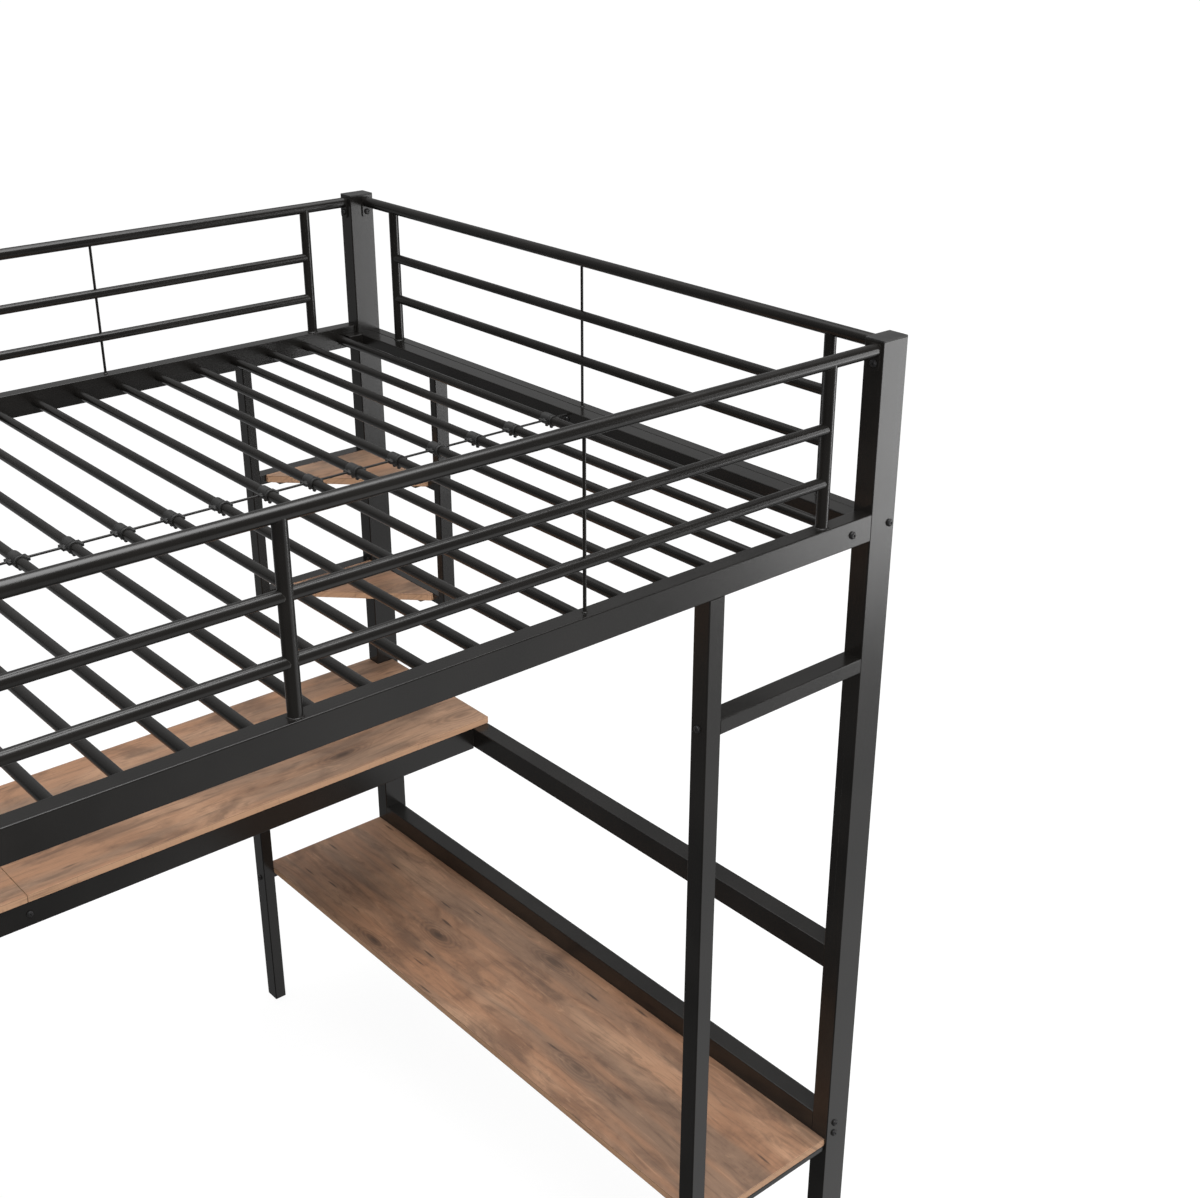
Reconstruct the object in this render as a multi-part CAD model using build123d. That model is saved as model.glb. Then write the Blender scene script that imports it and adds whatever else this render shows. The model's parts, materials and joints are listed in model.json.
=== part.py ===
"""Metal loft bed with a full-width desk, a low shelf and two corner shelves.

Millimetres. +X runs along the bed to its right end, +Y to the back and +Z up.
The origin is on the floor under the middle of the bed. Tubes are hollow.
"""
from build123d import *
import os

# ---------------------------------------------------------------- driving dimensions
LENGTH = 2076          # over the posts, along X
WIDTH = 1437           # over the posts, along Y
HEIGHT = 1824          # floor to the top of the post caps

POST_X, POST_Y = 54, 36            # post section
WALL = 1.2                         # wall of square tube
ROUND_WALL = 1.0                   # wall of round tube
CORNER = 1.8                       # outside corner radius of square tube

RAIL_TOP, RAIL_H, RAIL_T = 1557, 44, 28          # side rails
END_TOP, END_H = 1542, 25                        # the two tubes side by side at each end
END_INNER_W, END_OUTER_W = 31, 23
CORNER_BLOCK = (30, 23)                          # block in each corner of the bed frame

SLAT_D, SLAT_Z, SLAT_PITCH, SLAT_COUNT = 16, 1534.5, 82, 24
CLIP_D, CLIP_LENGTH = 21, 28                     # plastic clip round the middle of a slat
CLIP_BOSS_D, CLIP_BOSS_REACH = 9, 6
LINK_D, LINK_CLEARANCE, LINK_GAP = 4, 0.2, 1     # rod that links one clip to the next

GUARD_TOP_Z, GUARD_MID_Z, GUARD_LOW_Z = 1808, 1710, 1627.5
GUARD_TOP_D, GUARD_LOW_D, GUARD_UPRIGHT_D, GUARD_ROD_D = 20, 17, 19, 5
GUARD_INSET = 17                                 # end guard axis in from the post's outer face
SIDE_UPRIGHT_X, SIDE_ROD_X = 889, 434            # uprights and thin rods of the long guards
END_UPRIGHT_Y = 584
GUARD_OPEN_X = -640                              # last upright beside the ladder opening
FRONT_MIDDLE_X = -3                              # middle upright of the front guard
TAB_T, TAB_W, TAB_H, TAB_CORNER = 3, 20, 40, 5   # bolted end plate of a guard's top tube
TAB_BOLT_Z = 1789

BEAM_W, BEAM_H = 38, 46                          # cross beams of the end frames
MID_BEAM_TOP, LOW_BEAM_TOP = 756, 392
LOW_BOLT_Z = (357, 380)

LEG_X = 650                                      # inner face of the side legs
FRONT_LEG_W, FRONT_LEG_D = 30, 32
BACK_LEG_W = 26
BRACE_Z = 1303                                   # middle height of the front brace
RUNG_H, RUNG_DEPTH = 25, 36                      # tube of the brace and the rungs
RUNG_PITCH, RUNG_COUNT = 260, 5

DESK_T = 15
DESK_FRONT_Y = 320
DESK_END_X = 1023
DESK_SEAM, NOTCH_GAP = 1, 0.5
DESK_BEAM_SETBACK, DESK_BEAM_T, DESK_BEAM_H = 2, 25, 50
SEAM_BEARER_W = 25

SHELF_TOP, SHELF_T = 350, 15                     # low shelf beside the desk
SHELF_Y = (-714, 716)
BEARER_H, BEARER_W = 12, 25

CORNER_TOP_Z = (1283, 1026)                      # top of the corner shelves and their rails
CORNER_T = 15
CORNER_LEG, CORNER_TIP = 245, 6                  # legs of the triangular boards, blunt tips
HANGER_W, HANGER_DEPTH = 20, 30                  # tube of the hangers and the rails they carry
HANGER_X, HANGER_Y = 712, 410.5
LUG_W, LUG_T, LUG_INSET = 20, 5, 25              # lugs under the corner boards
BRACKET = (8, 16, 8)                             # bracket on a rail beside the back post

CAP_FLANGE, CAP_PLUG, CAP_CLEARANCE = 3, 15, 0.3
END_BOLT_Z, MIDDLE_BOLT_Z = 1533.5, 1525.5         # bolts into the tubes at the ends of the bed
BOLT_HEAD_D, BOLT_HEAD_H, BOLT_D, BOLT_GRIP = 12, 4, 6, 10
SCREW_HEAD_D, SCREW_HEAD_H, SCREW_D, SCREW_GRIP = 8, 3, 4, 11
HOLE_CLEARANCE = 0.6
EDGE = 0.8                                       # eased edge of the boards

# ---------------------------------------------------------------- derived places
OUT_X, OUT_Y = LENGTH / 2, WIDTH / 2             # outer faces of the posts
IN_X, IN_Y = OUT_X - POST_X, OUT_Y - POST_Y      # inner faces of the posts
RAIL_IN_Y = OUT_Y - RAIL_T
RAIL_BOTTOM = RAIL_TOP - RAIL_H
GUARD_Y = OUT_Y - RAIL_T / 2
GUARD_X = OUT_X - GUARD_INSET
DESK_TOP = MID_BEAM_TOP + DESK_T
SHELF_X = LEG_X + FRONT_LEG_W
RUNG_Y = -OUT_Y + RUNG_DEPTH / 2
CORNER_Y = OUT_Y - HANGER_DEPTH                  # back edge of the corner boards
HANGER_FOOT = CORNER_TOP_Z[1] - HANGER_W
TUBE_TOP = HEIGHT - CAP_FLANGE

AXES = {"x": Plane.YZ, "y": Plane.ZX, "z": Plane.XY}
SIDES = ((1, "right"), (-1, "left"))
DEPTHS = ((-1, "front"), (1, "back"))


# ---------------------------------------------------------------- building blocks
def section_plane(axis, origin):
    """Plane square to one axis, through a point."""
    base = AXES[axis]
    return Plane(origin=origin, x_dir=base.x_dir, z_dir=base.z_dir)


def box_tube(axis, low, high, wall=WALL, corner=CORNER):
    """Hollow rectangular tube that fills a box, open at both ends along the axis."""
    size = [b - a for a, b in zip(low, high)]
    start = [(a + b) / 2 for a, b in zip(low, high)]
    run = "xyz".index(axis)
    start[run] = low[run]
    width, height = size[(run + 1) % 3], size[(run + 2) % 3]
    outline = RectangleRounded(width, height, corner)
    bore = RectangleRounded(width - 2 * wall, height - 2 * wall, corner - wall)
    return extrude(section_plane(axis, tuple(start)) * (outline - bore), size[run])


def round_bar(axis, start, length, diameter):
    """Solid round bar from a point, along one axis."""
    return extrude(section_plane(axis, start) * Circle(diameter / 2), length)


def round_tube(axis, start, length, diameter, wall=ROUND_WALL):
    """Hollow round tube from a point, along one axis."""
    ring = Circle(diameter / 2) - Circle(diameter / 2 - wall)
    return extrude(section_plane(axis, start) * ring, length)


def block(low, high):
    """Solid box between two corners."""
    return Pos(*low) * Box(*[b - a for a, b in zip(low, high)], align=(Align.MIN,) * 3)


def mirror_span(side, near, far):
    """Low and high X of a span given on the right side, for either side."""
    return (near, far) if side > 0 else (-far, -near)


def plug(width, depth, z_face, up):
    """Plastic end cap: a flange over the tube's end and a plug inside it."""
    flange = extrude(RectangleRounded(width, depth, CORNER), CAP_FLANGE)
    inset = 2 * (WALL + CAP_CLEARANCE)
    stem = extrude(RectangleRounded(width - inset, depth - inset, CORNER - WALL), -CAP_PLUG)
    cap = flange + stem
    return Pos(0, 0, z_face) * (cap if up else Rot(180, 0, 0) * cap)


# ---------------------------------------------------------------- bolts
def fastener(length, head_d, head_h, shank_d):
    """Button-head screw with a hexagon socket, along +Z with its seat at Z = 0."""
    head = Pos(0, 0, -head_h / 2) * Cylinder(head_d / 2, head_h)
    head = fillet(head.edges().filter_by(GeomType.CIRCLE).sort_by(Axis.Z)[0], head_h * 0.7)
    socket = extrude(Pos(0, 0, -head_h) * RegularPolygon(head_d * 0.2, 6), head_h * 0.55)
    shank = Pos(0, 0, length / 2) * Cylinder(shank_d / 2, length)
    return head - socket + shank


def bolt_places():
    """Seat point, direction and shank length of every frame bolt."""
    places = []
    end_tube_x = IN_X + END_INNER_W + END_OUTER_W / 2
    slat_x = SLAT_PITCH * (SLAT_COUNT - 1) / 2
    bearer_z = SHELF_TOP - SHELF_T - BEARER_H / 2
    for sx, _ in SIDES:
        for sy, _ in DEPTHS:
            face, inward = sy * OUT_Y, (0, -sy, 0)
            places.append(((sx * end_tube_x, face, END_BOLT_Z), inward, POST_Y + BOLT_GRIP))
            places.append(((sx * slat_x, face, SLAT_Z), inward, RAIL_T + BOLT_GRIP))
            for z in LOW_BOLT_Z:
                places.append(((sx * (IN_X + BEAM_W / 2), face, z), inward, POST_Y + BOLT_GRIP))
        places.append(((sx * IN_X, 0, MIDDLE_BOLT_Z), (sx, 0, 0), END_INNER_W + BOLT_GRIP))
        beam_y = DESK_FRONT_Y + DESK_BEAM_SETBACK + DESK_BEAM_T / 2
        beam_z = MID_BEAM_TOP - DESK_BEAM_H / 2
        places.append(((sx * (IN_X + BEAM_W), beam_y, beam_z), (-sx, 0, 0), BEAM_W + BOLT_GRIP))
        back_z = MID_BEAM_TOP - BEAM_H / 2
        places.append(((sx * OUT_X, OUT_Y - BEAM_W / 2, back_z), (-sx, 0, 0), POST_X + BOLT_GRIP))
    for side, rungs in ((1, [BRACE_Z]), (-1, rung_heights())):
        for z in rungs:
            places.append(((side * LEG_X, RUNG_Y, z), (side, 0, 0), FRONT_LEG_W + BOLT_GRIP))
            places.append(((side * OUT_X, RUNG_Y, z), (-side, 0, 0), POST_X + BOLT_GRIP))
    for y, leg in ((SHELF_Y[0] + BEARER_W / 2, FRONT_LEG_W),
                   (SHELF_Y[1] - BEARER_W / 2, BACK_LEG_W)):
        places.append(((LEG_X, y, bearer_z), (1, 0, 0), leg + BOLT_GRIP))
        places.append(((OUT_X, y, bearer_z), (-1, 0, 0), POST_X + BOLT_GRIP))
    seam_z = MID_BEAM_TOP - DESK_BEAM_H / 2
    front = DESK_FRONT_Y + DESK_BEAM_SETBACK
    places.append(((0, front, seam_z), (0, 1, 0), DESK_BEAM_T + BOLT_GRIP))
    places.append(((0, OUT_Y, seam_z), (0, -1, 0), BEAM_W + BOLT_GRIP))
    return places


def guard_bolt_places():
    """Seat point, direction and shank length of the bolts in the guards' end plates."""
    places = []
    for sx, _ in SIDES:
        for sy, _ in DEPTHS:
            if (sx, sy) != (-1, -1):
                seat = (sx * (IN_X - TAB_T), sy * GUARD_Y, TAB_BOLT_Z)
                places.append((seat, (sx, 0, 0), TAB_T + BOLT_GRIP))
            seat = (sx * GUARD_X, sy * (IN_Y - TAB_T), TAB_BOLT_Z)
            places.append((seat, (0, sy, 0), TAB_T + BOLT_GRIP))
    return places


def lug_places():
    """Middle of each lug under a corner board: at both tips and in the corner."""
    reach, middle = CORNER_LEG - LUG_INSET - LUG_W / 2, LUG_W / 2
    return [(IN_X - dx, CORNER_Y - dy) for dx, dy in
            ((reach, middle), (middle, reach), (middle, middle))]


def screw_places():
    """Seat point, direction and shank length of the corner shelf screws."""
    return [((x, y, top - CORNER_T - LUG_T), (0, 0, 1), LUG_T + SCREW_GRIP)
            for top in CORNER_TOP_Z for x, y in lug_places()]


def place(shape, seat, direction):
    """Move a fastener to its seat, pointing along its direction."""
    return Plane(origin=seat, z_dir=direction).location * shape


def fasteners(places, head_d, head_h, shank_d):
    """Every fastener of one kind, each a solid of its own."""
    return [place(fastener(reach, head_d, head_h, shank_d), seat, direction)
            for seat, direction, reach in places]


def drill_tools():
    """Clearance holes for all fasteners, with their bounding boxes."""
    tools = []
    kinds = ((bolt_places() + guard_bolt_places(), BOLT_D), (screw_places(), SCREW_D))
    for places, shank_d in kinds:
        for seat, direction, reach in places:
            bar = Pos(0, 0, reach / 2) * Cylinder((shank_d + HOLE_CLEARANCE) / 2, reach + 1)
            tool = place(bar, seat, direction)
            tools.append((tool, tool.bounding_box()))
    return tools


def drilled(part, tools):
    """The part with a hole wherever a fastener's shank runs through it."""
    box = part.bounding_box()
    for tool, reach in tools:
        apart = (reach.min.X > box.max.X or reach.max.X < box.min.X
                 or reach.min.Y > box.max.Y or reach.max.Y < box.min.Y
                 or reach.min.Z > box.max.Z or reach.max.Z < box.min.Z)
        if not apart:
            part = part - tool
    return part


# ---------------------------------------------------------------- posts and legs
def posts():
    """Four corner posts, each between its foot cap and its top cap."""
    parts = {}
    for sx, side in SIDES:
        x = mirror_span(sx, IN_X, OUT_X)
        for sy, depth in DEPTHS:
            y = mirror_span(sy, IN_Y, OUT_Y)
            low, high = (x[0], y[0], CAP_FLANGE), (x[1], y[1], TUBE_TOP)
            parts[f"post_{depth}_{side}"] = [box_tube("z", low, high)]
    return parts


def side_legs():
    """Front leg, ladder stile and back leg, between a foot cap and what they carry."""
    front = (-OUT_Y, -OUT_Y + FRONT_LEG_D)
    back_top = MID_BEAM_TOP - BEAM_H
    parts = {}
    for sx, name in ((1, "front_leg_right"), (-1, "ladder_stile")):
        x = mirror_span(sx, LEG_X, LEG_X + FRONT_LEG_W)
        parts[name] = [box_tube("z", (x[0], front[0], CAP_FLANGE), (x[1], front[1], RAIL_BOTTOM))]
    low, high = (LEG_X, IN_Y, CAP_FLANGE), (LEG_X + BACK_LEG_W, OUT_Y, back_top)
    parts["back_leg_right"] = [box_tube("z", low, high)]
    return parts


def post_caps():
    """Flat plastic caps in the tops of the posts."""
    return [Pos(sx * (IN_X + POST_X / 2), sy * (IN_Y + POST_Y / 2), 0)
            * plug(POST_X, POST_Y, TUBE_TOP, True)
            for sx, _ in SIDES for sy, _ in DEPTHS]


def foot_caps():
    """Plastic feet in the lower ends of the posts and legs."""
    feet = [(sx * (IN_X + POST_X / 2), sy * (IN_Y + POST_Y / 2), POST_X, POST_Y)
            for sx, _ in SIDES for sy, _ in DEPTHS]
    leg_x, leg_y = LEG_X + FRONT_LEG_W / 2, -OUT_Y + FRONT_LEG_D / 2
    feet += [(sx * leg_x, leg_y, FRONT_LEG_W, FRONT_LEG_D) for sx, _ in SIDES]
    feet.append((LEG_X + BACK_LEG_W / 2, IN_Y + POST_Y / 2, BACK_LEG_W, POST_Y))
    return [Pos(x, y, 0) * plug(w, d, CAP_FLANGE, False) for x, y, w, d in feet]


# ---------------------------------------------------------------- bed frame
def bed_frame():
    """Side rails, and the pair of tubes that closes each end between the posts."""
    parts = {}
    for sy, depth in DEPTHS:
        y = mirror_span(sy, RAIL_IN_Y, OUT_Y)
        low, high = (-IN_X, y[0], RAIL_BOTTOM), (IN_X, y[1], RAIL_TOP)
        parts[f"side_rail_{depth}"] = [box_tube("x", low, high)]
    for sx, side in SIDES:
        seam = IN_X + END_INNER_W
        for name, near, far in (("slat_frame_end", IN_X, seam), ("end_beam", seam, OUT_X)):
            x = mirror_span(sx, near, far)
            low, high = (x[0], -IN_Y, END_TOP - END_H), (x[1], IN_Y, END_TOP)
            parts[f"{name}_{side}"] = [box_tube("y", low, high)]
    return parts


def corner_blocks():
    """Short tubes in the corners between the side rails and the end tubes."""
    blocks = []
    for sx, _ in SIDES:
        x = mirror_span(sx, IN_X - CORNER_BLOCK[0], IN_X)
        for sy, _ in DEPTHS:
            y = mirror_span(sy, RAIL_IN_Y - CORNER_BLOCK[1], RAIL_IN_Y)
            blocks.append(box_tube("x", (x[0], y[0], END_TOP - END_H), (x[1], y[1], END_TOP)))
    return blocks


def slat_positions():
    """X of each slat's axis."""
    first = -SLAT_PITCH * (SLAT_COUNT - 1) / 2
    return [first + SLAT_PITCH * i for i in range(SLAT_COUNT)]


def slats():
    """Round cross tubes between the side rails."""
    return [round_tube("y", (x, -RAIL_IN_Y, SLAT_Z), 2 * RAIL_IN_Y, SLAT_D)
            for x in slat_positions()]


def slat_clips():
    """Plastic sleeves on the slats, each with a socket on both sides for a link rod."""
    body = Rot(90, 0, 0) * Cylinder(CLIP_D / 2, CLIP_LENGTH)
    span = CLIP_D + 2 * CLIP_BOSS_REACH
    body += Rot(0, 90, 0) * Cylinder(CLIP_BOSS_D / 2, span)
    body -= Rot(90, 0, 0) * Cylinder(SLAT_D / 2, CLIP_LENGTH)
    body -= Rot(0, 90, 0) * Cylinder((LINK_D + LINK_CLEARANCE) / 2, span)
    return [Pos(x, 0, SLAT_Z) * body for x in slat_positions()]


def slat_links():
    """Thin rods that space the slats, from one clip's socket into the next."""
    stops = [-IN_X] + slat_positions() + [IN_X]
    links = []
    for left, right in zip(stops, stops[1:]):
        start = left if left == -IN_X else left + SLAT_D / 2 + LINK_GAP
        end = right if right == IN_X else right - SLAT_D / 2 - LINK_GAP
        links.append(round_bar("x", (start, 0, SLAT_Z), end - start, LINK_D))
    return links


# ---------------------------------------------------------------- guards
def guard(start, end, uprights, rods, base_z):
    """A guard that runs along local X at Y = 0: top tube, two lower tubes, uprights, rods."""
    length = end - start
    top_bar = round_bar("x", (start, 0, GUARD_TOP_Z), length, GUARD_TOP_D)
    top = [round_tube("x", (start, 0, GUARD_TOP_Z), length, GUARD_TOP_D)]
    rise = GUARD_TOP_Z - base_z
    posts_solid = [round_bar("z", (x, 0, base_z), rise, GUARD_UPRIGHT_D) for x in uprights]
    verticals = [round_tube("z", (x, 0, base_z), rise, GUARD_UPRIGHT_D) - top_bar
                 for x in uprights]
    lower, lower_bars = [], []
    span = uprights[-1] - uprights[0]
    for z in (GUARD_MID_Z, GUARD_LOW_Z):
        tube = round_tube("x", (uprights[0], 0, z), span, GUARD_LOW_D)
        for upright in posts_solid:
            tube = tube - upright
        lower += tube.solids()
        lower_bars.append(round_bar("x", (uprights[0], 0, z), span, GUARD_LOW_D))
    for x in rods:
        rod = round_bar("z", (x, 0, base_z), rise, GUARD_ROD_D) - top_bar
        for bar in lower_bars:
            rod = rod - bar
        verticals += rod.solids()
    return {"top_tube": top, "lower_tubes": lower, "uprights": verticals}


def guards():
    """The four guards. The front one stops at the opening above the ladder."""
    long_reach, end_reach = IN_X - TAB_T, IN_Y - TAB_T
    back = guard(-long_reach, long_reach, [-SIDE_UPRIGHT_X, 0, SIDE_UPRIGHT_X],
                 [-SIDE_ROD_X, SIDE_ROD_X], RAIL_TOP)
    front = guard(GUARD_OPEN_X - GUARD_UPRIGHT_D / 2, long_reach,
                  [GUARD_OPEN_X, FRONT_MIDDLE_X, SIDE_UPRIGHT_X], [-SIDE_ROD_X, SIDE_ROD_X], RAIL_TOP)
    end = guard(-end_reach, end_reach, [-END_UPRIGHT_Y, END_UPRIGHT_Y], [0], END_TOP)
    places = {
        "guard_front": (front, Pos(0, -GUARD_Y, 0)),
        "guard_back": (back, Pos(0, GUARD_Y, 0)),
        "guard_right": (end, Pos(GUARD_X, 0, 0) * Rot(0, 0, 90)),
        "guard_left": (end, Pos(-GUARD_X, 0, 0) * Rot(0, 0, 90)),
    }
    return {f"{name}_{piece}": [where * solid for solid in solids]
            for name, (pieces, where) in places.items() for piece, solids in pieces.items()}


def guard_tabs():
    """Flat end plates that hold the guards' top tubes to the posts."""
    plates = []
    z = GUARD_TOP_Z + GUARD_TOP_D / 2 - TAB_H / 2
    outline = RectangleRounded(TAB_W, TAB_H, TAB_CORNER)
    for seat, direction, _ in guard_bolt_places():
        plane = Plane(origin=(seat[0], seat[1], z), x_dir=(direction[1], -direction[0], 0),
                      z_dir=direction)
        plates.append(extrude(plane * outline, TAB_T))
    return plates


def guard_end_plug():
    """Domed plug in the free end of the front guard's top tube."""
    x = GUARD_OPEN_X - GUARD_UPRIGHT_D / 2
    inner_d = GUARD_TOP_D - 2 * ROUND_WALL - 2 * CAP_CLEARANCE
    head = round_bar("x", (x - CAP_FLANGE, -GUARD_Y, GUARD_TOP_Z), CAP_FLANGE, GUARD_TOP_D)
    head = fillet(head.edges().filter_by(GeomType.CIRCLE).sort_by(Axis.X)[0], CAP_FLANGE * 0.8)
    return [head + round_bar("x", (x, -GUARD_Y, GUARD_TOP_Z), CAP_PLUG, inner_d)]


# ---------------------------------------------------------------- end frames, ladder and brace
def cross_beams():
    """Two level beams between the posts of each end frame."""
    parts = {}
    for sx, side in SIDES:
        x = mirror_span(sx, IN_X, IN_X + BEAM_W)
        for name, top in (("middle_beam", MID_BEAM_TOP), ("low_beam", LOW_BEAM_TOP)):
            low, high = (x[0], -IN_Y, top - BEAM_H), (x[1], IN_Y, top)
            parts[f"{name}_{side}"] = [box_tube("y", low, high)]
    return parts


def rung_heights():
    """Middle height of each ladder rung, from the brace's height down."""
    return [BRACE_Z - RUNG_PITCH * i for i in range(RUNG_COUNT)]


def rung(side, z):
    """Tube between a front leg and the post beside it."""
    x = mirror_span(side, SHELF_X, IN_X)
    low = (x[0], -OUT_Y, z - RUNG_H / 2)
    return box_tube("x", low, (x[1], -OUT_Y + RUNG_DEPTH, z + RUNG_H / 2))


# ---------------------------------------------------------------- desk
def eased(board):
    """The board with all its edges slightly rounded."""
    return fillet(board.edges(), EDGE)


def desk_boards():
    """Two boards that meet at the middle of the bed, notched round the back posts."""
    parts = {}
    for sx, side in SIDES:
        x = mirror_span(sx, DESK_SEAM / 2, DESK_END_X)
        board = block((x[0], DESK_FRONT_Y, MID_BEAM_TOP), (x[1], OUT_Y, DESK_TOP))
        notch_x = mirror_span(sx, IN_X - NOTCH_GAP, OUT_X)
        notch_y = (IN_Y - NOTCH_GAP, OUT_Y)
        board -= block((notch_x[0], notch_y[0], MID_BEAM_TOP), (notch_x[1], notch_y[1], DESK_TOP))
        parts[f"desk_board_{side}"] = [eased(board)]
    return parts


def desk_frame():
    """Front beam, back beam and the bearer under the seam of the boards."""
    front = DESK_FRONT_Y + DESK_BEAM_SETBACK
    beam_bottom = MID_BEAM_TOP - DESK_BEAM_H
    front_low = (-IN_X, front, beam_bottom)
    front_high = (IN_X, front + DESK_BEAM_T, MID_BEAM_TOP)
    back_low, back_high = (-IN_X, IN_Y, MID_BEAM_TOP - BEAM_H), (IN_X, OUT_Y, MID_BEAM_TOP)
    seam_low = (-SEAM_BEARER_W / 2, front + DESK_BEAM_T, beam_bottom)
    seam_high = (SEAM_BEARER_W / 2, IN_Y, MID_BEAM_TOP)
    return {
        "desk_front_beam": [box_tube("x", front_low, front_high)],
        "desk_back_beam": [box_tube("x", back_low, back_high)],
        "desk_middle_bearer": [box_tube("y", seam_low, seam_high)],
    }


# ---------------------------------------------------------------- low shelf
def low_shelf():
    """Board along the right end, on a flat bearer at the front and one at the back."""
    bottom = SHELF_TOP - SHELF_T
    board = block((SHELF_X, SHELF_Y[0], bottom), (IN_X, SHELF_Y[1], SHELF_TOP))
    parts = {"low_shelf_board": [eased(board)]}
    for depth, x, y in (("front", SHELF_X, SHELF_Y[0]),
                        ("back", LEG_X + BACK_LEG_W, SHELF_Y[1] - BEARER_W)):
        low, high = (x, y, bottom - BEARER_H), (IN_X, y + BEARER_W, bottom)
        parts[f"low_shelf_bearer_{depth}"] = [box_tube("x", low, high)]
    return parts


# ---------------------------------------------------------------- corner shelves
def hangers():
    """Two tubes that hang from the bed frame beside the back right post."""
    low, high = (HANGER_X, CORNER_Y, HANGER_FOOT), (HANGER_X + HANGER_W, OUT_Y, RAIL_BOTTOM)
    back = box_tube("z", low, high)
    low = (IN_X, HANGER_Y, HANGER_FOOT)
    high = (IN_X + HANGER_DEPTH, HANGER_Y + HANGER_W, END_TOP - END_H)
    return {"hanger_back": [back], "hanger_end": [box_tube("z", low, high)]}


def hanger_plugs():
    """Plastic plugs in the lower ends of the hangers."""
    back_x, back_y = HANGER_X + HANGER_W / 2, OUT_Y - HANGER_DEPTH / 2
    end_x, end_y = IN_X + HANGER_DEPTH / 2, HANGER_Y + HANGER_W / 2
    return [Pos(back_x, back_y, 0) * plug(HANGER_W, HANGER_DEPTH, HANGER_FOOT, False),
            Pos(end_x, end_y, 0) * plug(HANGER_DEPTH, HANGER_W, HANGER_FOOT, False)]


def corner_shelves():
    """For each level, a rail to each hanger and a triangular board level with them."""
    parts = {}
    tip_x, tip_y = IN_X - CORNER_LEG + CORNER_TIP, CORNER_Y - CORNER_LEG + CORNER_TIP
    points = ((tip_x, CORNER_Y), (tip_x, CORNER_Y - CORNER_TIP),
              (IN_X - CORNER_TIP, tip_y), (IN_X, tip_y), (IN_X, CORNER_Y))
    for level, top in zip(("upper", "lower"), CORNER_TOP_Z):
        low, high = (HANGER_X + HANGER_W, CORNER_Y, top - HANGER_W), (IN_X, OUT_Y, top)
        parts[f"corner_rail_{level}_back"] = [box_tube("x", low, high)]
        low = (IN_X, HANGER_Y + HANGER_W, top - HANGER_W)
        high = (IN_X + HANGER_DEPTH, IN_Y, top)
        parts[f"corner_rail_{level}_end"] = [box_tube("y", low, high)]
        outline = Polygon(*points, align=None)
        parts[f"corner_shelf_{level}"] = [eased(extrude(Pos(0, 0, top - CORNER_T) * outline, CORNER_T))]
    return parts


def corner_lugs():
    """Flat lugs under each triangular board, and a small bracket on its back rail."""
    lugs = []
    half = LUG_W / 2
    for top in CORNER_TOP_Z:
        under = top - CORNER_T
        for x, y in lug_places():
            lugs.append(block((x - half, y - half, under - LUG_T), (x + half, y + half, under)))
        width, depth, height = BRACKET
        lugs.append(block((IN_X - width, CORNER_Y, top), (IN_X, CORNER_Y + depth, top + height)))
    return lugs


# ---------------------------------------------------------------- assembly
def build():
    """Every node by name, as a list of solids."""
    nodes = {}
    for family in (posts, side_legs, bed_frame, guards, cross_beams, desk_boards, desk_frame,
                   low_shelf, hangers, corner_shelves):
        nodes.update(family())
    nodes["front_brace_right"] = [rung(1, BRACE_Z)]
    nodes["ladder_rungs"] = [rung(-1, z) for z in rung_heights()]
    nodes["slats"] = slats()
    nodes["corner_blocks"] = corner_blocks()
    nodes["guard_tabs"] = guard_tabs()
    nodes["corner_lugs"] = corner_lugs()
    nodes["post_caps"] = post_caps()
    nodes["foot_caps"] = foot_caps()
    tools = drill_tools()
    nodes = {name: [drilled(solid, tools) for solid in solids] for name, solids in nodes.items()}
    nodes["tube_plugs"] = hanger_plugs() + guard_end_plug()
    nodes["slat_clips"] = slat_clips()
    nodes["slat_links"] = slat_links()
    bolts = bolt_places() + guard_bolt_places()
    nodes["frame_bolts"] = fasteners(bolts, BOLT_HEAD_D, BOLT_HEAD_H, BOLT_D)
    nodes["corner_screws"] = fasteners(screw_places(), SCREW_HEAD_D, SCREW_HEAD_H, SCREW_D)
    return nodes


os.makedirs("parts", exist_ok=True)
for node, shapes in build().items():
    solids = [solid for shape in shapes for solid in shape.solids()]
    shape = solids[0] if len(solids) == 1 else Compound(children=solids)
    export_step(shape, f"parts/{node}.step")
    print(node, len(solids))
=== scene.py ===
# %% [markdown]
# # A loft bed with a desk, dressed in Blender
#
# The bed is steel tube with a black powder coat. Under it are a desk, a low shelf and two small
# corner shelves, all of board with a rustic brown laminate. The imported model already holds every
# tube and board at its true size. This lesson gives them their finishes, and models by hand the
# small moulded and welded pieces that carry the close-up detail.
#
# We begin by loading the frame, which every later piece is placed on.

# %% Load the frame
import json
import math
from collections import namedtuple

import bmesh
import bpy
from mathutils import Matrix, Vector


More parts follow.
